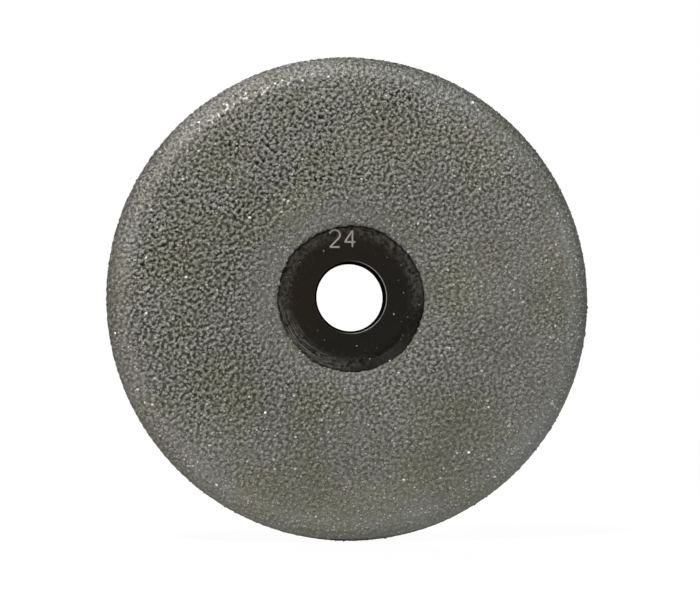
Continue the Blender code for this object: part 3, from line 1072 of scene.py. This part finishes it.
def film_wobble(r, h, t):
    n = film_noise.fractal(6 * np.cos(t) + 20, 6 * np.sin(t) + 20, 3)
    return r + np.where(r > 25, 0.18 * n, 0.10 * n), h


film = lathe(
    "glue_film",
    [(f_in, h_top), (20, h_top), (34, h_top), (f_out - 0.1, h_top), (f_out, (h_top + h_low) / 2), (f_out - 0.1, h_low), (34, h_low), (20, h_low), (f_in, h_low), (f_in - 0.06, (h_top + h_low) / 2)],
    256,
    film_wobble,
    lambda r, h, t: flat_uv(np.where(h > (h_top + h_low) / 2, r, r * 0.98) * np.cos(t), r * np.sin(t), 51),
)
piece(film, film_material(), "adhesive", "adhesive_film")


# ---- soft layers on the back ---------------------------------------------------------------------------------
def soft_ring(name, r_in, r_out, y_front, y_back, spacing, relief, edge_in, edge_out, round_to, uv_reach=51.0, tone_of=None):
    """A closed ring whose back side (towards +Y) is a fine relief and whose front side is plain."""
    steps = max(4, round((r_out - r_in) / (spacing * 0.9)))
    rings = np.linspace(r_in, r_out, steps)
    rho, theta, tris, counts, starts = ring_grid(rings, spacing)
    share = (rho - r_in) / (r_out - r_in)
    r = rho + edge_in(theta) * (1 - share) ** 8 + edge_out(theta) * share**8
    x, z = r * np.cos(theta), r * np.sin(theta)
    near = np.minimum(rho - r_in, r_out - rho)
    fall = np.sqrt(np.clip(1 - (1 - np.clip(near / round_to, 0, 1)) ** 2, 0, 1))
    y = y_front + (y_back - y_front) * (0.30 + 0.70 * fall) + relief(x, z) * (0.25 + 0.75 * fall)
    top = np.stack([x, y, z], -1)
    co, fcs, uvs = [top], [tris], [flat_uv(x, z, uv_reach)]
    # plain front side on rings of its own, sharing the two border rings by walls
    n_top = len(top)
    wall_in = np.stack([x[: counts[0]], np.full(counts[0], y_front), z[: counts[0]]], -1)
    last = starts[-1]
    wall_out = np.stack([x[last:], np.full(counts[-1], y_front), z[last:]], -1)
    mids = np.linspace(r_in, r_out, 16)[1:-1]
    m_rho, m_theta, _, m_counts, m_starts = ring_grid(mids, 3.2)
    floor = np.stack([m_rho * np.cos(m_theta), np.full(len(m_rho), y_front), m_rho * np.sin(m_theta)], -1)
    a0 = n_top
    a1 = a0 + len(wall_in)
    a2 = a1 + len(wall_out)
    co += [wall_in, wall_out, floor]
    for block in (wall_in, wall_out, floor):
        uvs.append(flat_uv(block[:, 0], block[:, 2], uv_reach))
    all_counts = [counts[0]] + m_counts + [counts[-1]]
    all_starts = [a0] + [a2 + s for s in m_starts] + [a1]
    all_turns = [0.0] + [0.5 * (i % 2) for i in range(len(m_counts))] + [0.5 * ((len(counts) - 1) % 2)]
    fcs.append(zipped_rings(all_counts, all_starts, all_turns)[:, ::-1])
    i = np.arange(counts[0])
    j = (i + 1) % counts[0]
    fcs.append(np.stack([i, j, a0 + i], -1))
    fcs.append(np.stack([j, a0 + j, a0 + i], -1))
    i = np.arange(counts[-1])
    j = (i + 1) % counts[-1]
    fcs.append(np.stack([last + i, a1 + i, last + j], -1))
    fcs.append(np.stack([last + j, a1 + i, a1 + j], -1))
    co, fcs, uvs = np.concatenate(co), np.concatenate(fcs)[:, ::-1], np.concatenate(uvs)
    tone = np.full(len(co), 0.3)
    if tone_of is not None:
        tone[:n_top] = tone_of(x, z)
    return make_mesh(name, co, fcs, uvs, True, tone)


cut_noise = Noise(14)


def cut_in(theta):
    return 0.16 * cut_noise.fractal(5 * np.cos(theta) + 9, 5 * np.sin(theta) + 9, 3)


def cut_out(theta):
    return 0.12 * cut_noise.fractal(16 * np.cos(theta) + 70, 16 * np.sin(theta) + 70, 3)


def knit(x, z):
    """Rows of knitted stitches: columns of small V shapes."""
    col = 0.95
    u = x / col
    v = z / 0.62 + 0.5 * np.abs((u % 1.0) - 0.5)
    return 0.07 * np.sin(TAU * v) * np.abs(np.sin(math.pi * u)) + 0.05 * np.abs(np.sin(math.pi * u))


ground = soft_ring(
    "knitted_ground",
    7.24,
    cloth_hi.x / MM,
    cloth_lo.y / MM,
    cloth_hi.y / MM - 0.12,
    0.36,
    knit,
    cut_in,
    cut_out,
    0.12,
)
piece(ground, cloth_material(), "ground_cloth", "loop_ground_cloth")

nap_noise = Noise(61)
tufts = band_noise(71, 1.95, 0.70)


def nap_relief(x, z):
    """The pile stands in tufts well under a millimetre across, with pits between them."""
    return 0.105 * sample(tufts, x, z) + 0.06 * nap_noise(x / 0.33 + 7, z / 0.33)


# painted shade: the nap darker in the pits between tufts, lighter on the tufts
def nap_tone(x, z):
    return np.clip(0.36 + 0.20 * sample(tufts, x, z) + 0.08 * nap_noise(x / 0.4, z / 0.4 + 30), 0, 1)


PILE_Y0, PILE_Y1 = pile_lo.y / MM, pile_hi.y / MM
PILE_R = pile_hi.x / MM
nap = soft_ring(
    "loop_nap",
    7.18,
    PILE_R - 0.05,
    PILE_Y0,
    PILE_Y1 - 0.50,
    0.35,
    nap_relief,
    cut_in,
    cut_out,
    0.7,
    tone_of=nap_tone,
)
nap_mat = nap_material("nylon_nap", (0.140, 0.0003, 0.0009), (0.265, 0.0108, 0.0150), (0.295, 0.029, 0.037))
piece(nap, nap_mat, "loop_nylon", "loop_pile")


def loop_tubes(name, x, z, rng, reach):
    """Many small closed nylon loops, each a three-sided tube bent into an arch."""
    count = len(x)
    heading = rng.uniform(0, TAU, count)
    span = rng.uniform(0.70, 1.50, count)
    rise = rng.uniform(0.28, 0.52, count)
    lean = rng.normal(0, 0.22, (count, 2)) + np.array([0.05, -0.10])
    curl = rng.normal(0, 0.30, count)
    thick = rng.uniform(0.12, 0.18, count)
    own_tone = rng.normal(0, 0.05, count)
    near_edge = np.minimum(np.hypot(x, z) - 7.1, PILE_R - np.hypot(x, z))
    sink = 0.55 * smoothstep(0.75, 0.0, near_edge)
    t = np.linspace(0, 1, 7)
    arch = np.sin(math.pi * t) ** 0.75
    d = np.stack([np.cos(heading), np.sin(heading)], -1)
    side = np.stack([-d[:, 1], d[:, 0]], -1)
    along = (t - 0.5)[None] * span[:, None]
    cross = curl[:, None] * np.sin(math.pi * t * 1.0)[None] * 0.6 + rng.normal(0, 0.035, (count, 7))
    px = x[:, None] + along * d[:, :1] + cross * side[:, :1] + lean[:, :1] * arch[None]
    pz = z[:, None] + along * d[:, 1:] + cross * side[:, 1:] + lean[:, 1:] * arch[None]
    rr = np.hypot(px, pz)
    fix = np.clip(rr, 7.30, PILE_R - 0.26) / rr
    px, pz = px * fix, pz * fix
    # painted shade: loops darker in the pits between tufts and down at their feet, lighter on the tufts
    tone = np.clip(0.45 + 0.225 * sample(tufts, px, pz) + own_tone[:, None] - 0.10 * (1 - arch)[None], 0, 1)
    base = PILE_Y1 - 0.62 - sink
    py = base[:, None] + rise[:, None] * arch[None] + nap_relief(px, pz) * 0.9 - 0.12 * (1 - arch)[None]
    py = np.minimum(py, PILE_Y1 - 0.06)
    p = np.stack([px, py, pz], -1)
    tangent = np.gradient(p, axis=1)
    tangent /= np.linalg.norm(tangent, axis=-1, keepdims=True)
    up = np.array([0.0, 1.0, 0.0])
    e1 = np.cross(tangent, up)
    e1 /= np.maximum(np.linalg.norm(e1, axis=-1, keepdims=True), 1e-6)
    e2 = np.cross(e1, tangent)
    sides = 3
    ang = np.arange(sides) / sides * TAU
    ring = e1[:, :, None] * np.cos(ang)[None, None, :, None] + e2[:, :, None] * np.sin(ang)[None, None, :, None]
    co = p[:, :, None] + ring * thick[:, None, None, None]
    n_t = len(t)
    i = np.arange(n_t - 1)[:, None] * sides
    j = np.arange(sides)[None]
    j2 = (j + 1) % sides
    a, b, c, e = i + j, i + j2, i + sides + j2, i + sides + j
    one = np.concatenate([np.stack([a, b, c], -1).reshape(-1, 3), np.stack([a, c, e], -1).reshape(-1, 3), [[0, 2, 1]], [[(n_t - 1) * sides, (n_t - 1) * sides + 1, (n_t - 1) * sides + 2]]])
    faces = one[None] + (np.arange(count) * n_t * sides)[:, None, None]
    co = co.reshape(-1, 3)
    uv = np.stack([(co[:, 0] - reach[0]) / reach[2], (co[:, 2] - reach[1]) / reach[2]], -1)
    return make_mesh(name, co, faces.reshape(-1, 3), uv, True, np.repeat(tone.ravel(), sides))


LOOPS = 17000
l_rho = np.sqrt(rng.uniform(7.55**2, (PILE_R - 0.35) ** 2, LOOPS))
l_th = rng.uniform(0, TAU, LOOPS)
lx, lz = l_rho * np.cos(l_th), l_rho * np.sin(l_th)
standing = rng.random(LOOPS) < smoothstep(-1.6, 0.0, sample(tufts, lx, lz))
l_th, lx, lz = l_th[standing], lx[standing], lz[standing]
print("loops", len(lx))
loop_mat = nap_material("nylon_loops", (0.197, 0.0004, 0.0012), (0.318, 0.0128, 0.0172), (0.368, 0.046, 0.056))
l_quarter = (np.floor((l_th + math.pi / 4) / (math.pi / 2)).astype(int)) % 4
for q, side in enumerate(("right", "top", "left", "bottom")):
    at = np.flatnonzero(l_quarter == q)
    lo = np.array([lx[at].min() - 1, lz[at].min() - 1])
    size = max(lx[at].max() - lo[0], lz[at].max() - lo[1]) + 1
    ob = loop_tubes(f"nylon_loops_{side}", lx[at], lz[at], rng, (lo[0], lo[1], size))
    piece(ob, loop_mat, "loop_nylon", "loop_pile")


# ---- floor, light, camera ----------------------------------------------------------------------------------------
BACKDROP = 1.0


def stage_floor():
    bm = bmesh.new()
    bmesh.ops.create_grid(bm, x_segments=8, y_segments=8, size=6.0)
    me = bpy.data.meshes.new("floor")
    bm.to_mesh(me)
    bm.free()
    ob = bpy.data.objects.new("floor", me)
    bpy.context.scene.collection.objects.link(ob)
    ob.location = (0, 0, -WHEEL_R * MM - 0.00012)
    m = Nodes("pale_floor")
    m.set(Base_Color=(0.86, 0.86, 0.86), Roughness=0.75, Specular_IOR_Level=0.2)
    nt = m.nt
    far = m.spread(m.polar_floor(), 0.10, 0.50, smooth=True)
    path = nt.nodes.new("ShaderNodeLightPath")
    glow = nt.nodes.new("ShaderNodeEmission")
    glow.inputs["Color"].default_value = (BACKDROP, BACKDROP, BACKDROP, 1)
    mix = nt.nodes.new("ShaderNodeMixShader")
    shown = m.math("ADD", 0.92, m.math("MULTIPLY", far, 0.08))
    nt.links.new(m.math("MULTIPLY", shown, path.outputs["Is Camera Ray"]), mix.inputs[0])
    nt.links.new(m.bsdf.outputs[0], mix.inputs[1])
    nt.links.new(glow.outputs[0], mix.inputs[2])
    nt.links.new(mix.outputs[0], nt.nodes["Material Output"].inputs["Surface"])
    me.materials.append(m.mat)


stage_floor()

world = bpy.data.worlds.new("studio")
bpy.context.scene.world = world
world.use_nodes = True
nt = world.node_tree
nt.nodes.clear()
out = nt.nodes.new("ShaderNodeOutputWorld")
mix = nt.nodes.new("ShaderNodeMixShader")
path = nt.nodes.new("ShaderNodeLightPath")
seen = nt.nodes.new("ShaderNodeBackground")
seen.inputs["Color"].default_value = (BACKDROP, BACKDROP, BACKDROP, 1)
seen.inputs["Strength"].default_value = 1.0
lit = nt.nodes.new("ShaderNodeBackground")
lit.inputs["Color"].default_value = (1.0, 1.0, 1.0, 1)
lit.inputs["Strength"].default_value = 0.17
nt.links.new(path.outputs["Is Camera Ray"], mix.inputs[0])
nt.links.new(lit.outputs[0], mix.inputs[1])
nt.links.new(seen.outputs[0], mix.inputs[2])
nt.links.new(mix.outputs[0], out.inputs[0])


def area(name, at, aim, size, power, colour=(1, 1, 1)):
    data = bpy.data.lights.new(name, "AREA")
    data.shape = "DISK"
    data.size = size
    data.energy = power
    data.color = colour
    ob = bpy.data.objects.new(name, data)
    bpy.context.scene.collection.objects.link(ob)
    ob.location = at
    ob.rotation_euler = (Vector(aim) - Vector(at)).to_track_quat("-Z", "Y").to_euler()
    return ob


area("key", (-0.34, -0.80, 0.80), (0, 0, 0), 0.30, 19.0)
area("fill", (0.8, -1.0, 0.30), (0, 0, 0), 0.9, 1.2)
area("back_key", (0.20, 1.16, 0.34), (0, 0, 0), 0.4, 11.0)
area("back_fill", (-0.6, 1.05, 0.20), (0, 0, 0), 0.9, 2.0)

cam_data = bpy.data.cameras.new("camera")
cam = bpy.data.objects.new("camera", cam_data)
bpy.context.scene.collection.objects.link(cam)
bpy.context.scene.camera = cam
cam_data.lens = 115.0
cam_data.sensor_width = 36.0
az, el, dist = math.radians(-6.6), math.radians(-3.6), 0.46
back = Vector((math.sin(az) * math.cos(el), -math.cos(az) * math.cos(el), math.sin(el)))
cam.location = back * dist
cam.rotation_euler = (-back).to_track_quat("-Z", "Y").to_euler()
cam_data.clip_start = 0.01
cam_data.clip_end = 50.0
bpy.context.scene.view_settings.view_transform = "Standard"
